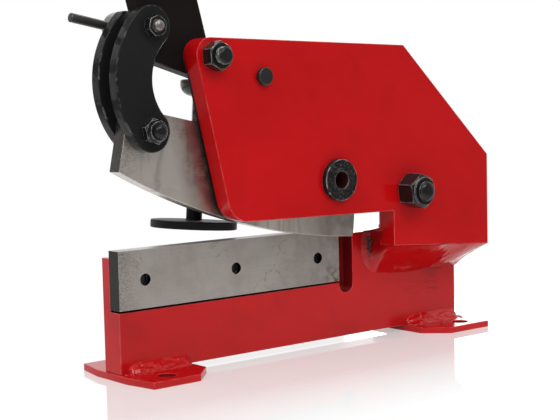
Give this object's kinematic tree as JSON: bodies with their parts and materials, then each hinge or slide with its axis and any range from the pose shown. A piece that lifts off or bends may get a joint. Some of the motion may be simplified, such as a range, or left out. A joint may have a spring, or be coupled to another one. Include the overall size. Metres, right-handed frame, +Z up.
{
  "type": "hand lever shear",
  "caption": "Bench hand lever shear: red frame of two welded plates on feet, fixed lower blade, curved swinging upper blade, link-driven lever, hold-down and round bar cutter.",
  "frame": {"origin": "centre of the four bench bolt holes, on the underside of the feet", "axes": "+Z up from the bench, +X along the blades from their open end to the pivot, +Y from the front plate to the back"},
  "size_m": [0.4668, 0.1188, 0.8181],
  "materials": {
    "red_paint": "gloss red paint",
    "black_paint": "satin black paint",
    "blade_steel": "surface ground tool steel",
    "black_oxide": "oiled black oxide",
    "zinc_steel": "bright zinc plate",
    "bronze": "plain bearing bronze",
    "grip_rubber": "matt ribbed rubber"
  },
  "bodies": {
    "frame": {"rear_plate": "red_paint", "front_plate": "red_paint", "frame_spacer": "red_paint", "frame_weld": "red_paint", "left_foot": "red_paint", "right_foot": "red_paint", "left_foot_weld": "red_paint", "right_foot_weld": "red_paint", "lower_blade": "blade_steel", "lower_blade_screws": "black_oxide", "front_bush": "black_oxide", "rear_bush": "black_oxide", "tie_pin": "black_oxide", "blade_pivot_bolt": "black_oxide", "blade_pivot_nut": "black_oxide", "blade_washer": "zinc_steel", "lever_pivot_stud": "black_oxide", "lever_pivot_nut": "black_oxide", "lever_washer": "zinc_steel", "hold_down_bracket": "red_paint"},
    "lever": {"lever_arm": "black_paint", "handle_tube": "black_paint", "handle_bolts": "black_oxide", "handle_nuts": "black_oxide", "handle_grip": "grip_rubber"},
    "links": {"front_link": "black_paint", "rear_link": "black_paint", "lower_link_bolt": "black_oxide", "lower_link_nut": "black_oxide", "upper_link_bolt": "zinc_steel", "upper_link_nut": "black_oxide"},
    "lock": {"lock_hub": "black_oxide", "lock_bar": "black_oxide"},
    "upper_blade": {"upper_blade": "blade_steel", "blade_bush": "bronze"},
    "pad": {"hold_down_pad": "black_oxide"},
    "screw": {"hold_down_screw": "black_oxide", "hold_down_knob": "black_oxide"}
  },
  "joints": [
    {"name": "lever_swing", "type": "hinge", "parent": "frame", "child": "lever", "pos_m": [-0.1051, 0, 0.2198], "axis": [0, -1, 0], "range_deg": [0, 66]},
    {"name": "link_swing", "type": "hinge", "parent": "lever", "child": "links", "pos_m": [-0.149, 0, 0.2396], "axis": [0, -1, 0], "range_deg": [-74.1, 0.1]},
    {"name": "blade_swing", "type": "hinge", "parent": "frame", "child": "upper_blade", "pos_m": [0.081, 0, 0.1172], "axis": [0, -1, 0], "range_deg": [-0.05, 12.7]},
    {"name": "lock_turn", "type": "hinge", "parent": "links", "child": "lock", "pos_m": [-0.149, 0, 0.2396], "axis": [0, -1, 0], "range_deg": [-40, 40]},
    {"name": "pad_slide", "type": "slide", "parent": "frame", "child": "pad", "axis": [0.0828, 0, 0.9966], "range_m": [-0.0038, 0.01]},
    {"name": "screw_turn", "type": "hinge", "parent": "pad", "child": "screw", "pos_m": [-0.0795, 0.025, 0.0995], "axis": [0.0828, 0, 0.9966], "range_deg": [-913, 2401]}
  ],
  "couplings": [
    {"joint": "link_swing", "follows": "lever_swing", "ratio": -1.1219},
    {"joint": "blade_swing", "follows": "lever_swing", "ratio": 0.1914},
    {"joint": "screw_turn", "follows": "pad_slide", "rad_per_m": 4188.8}
  ]
}
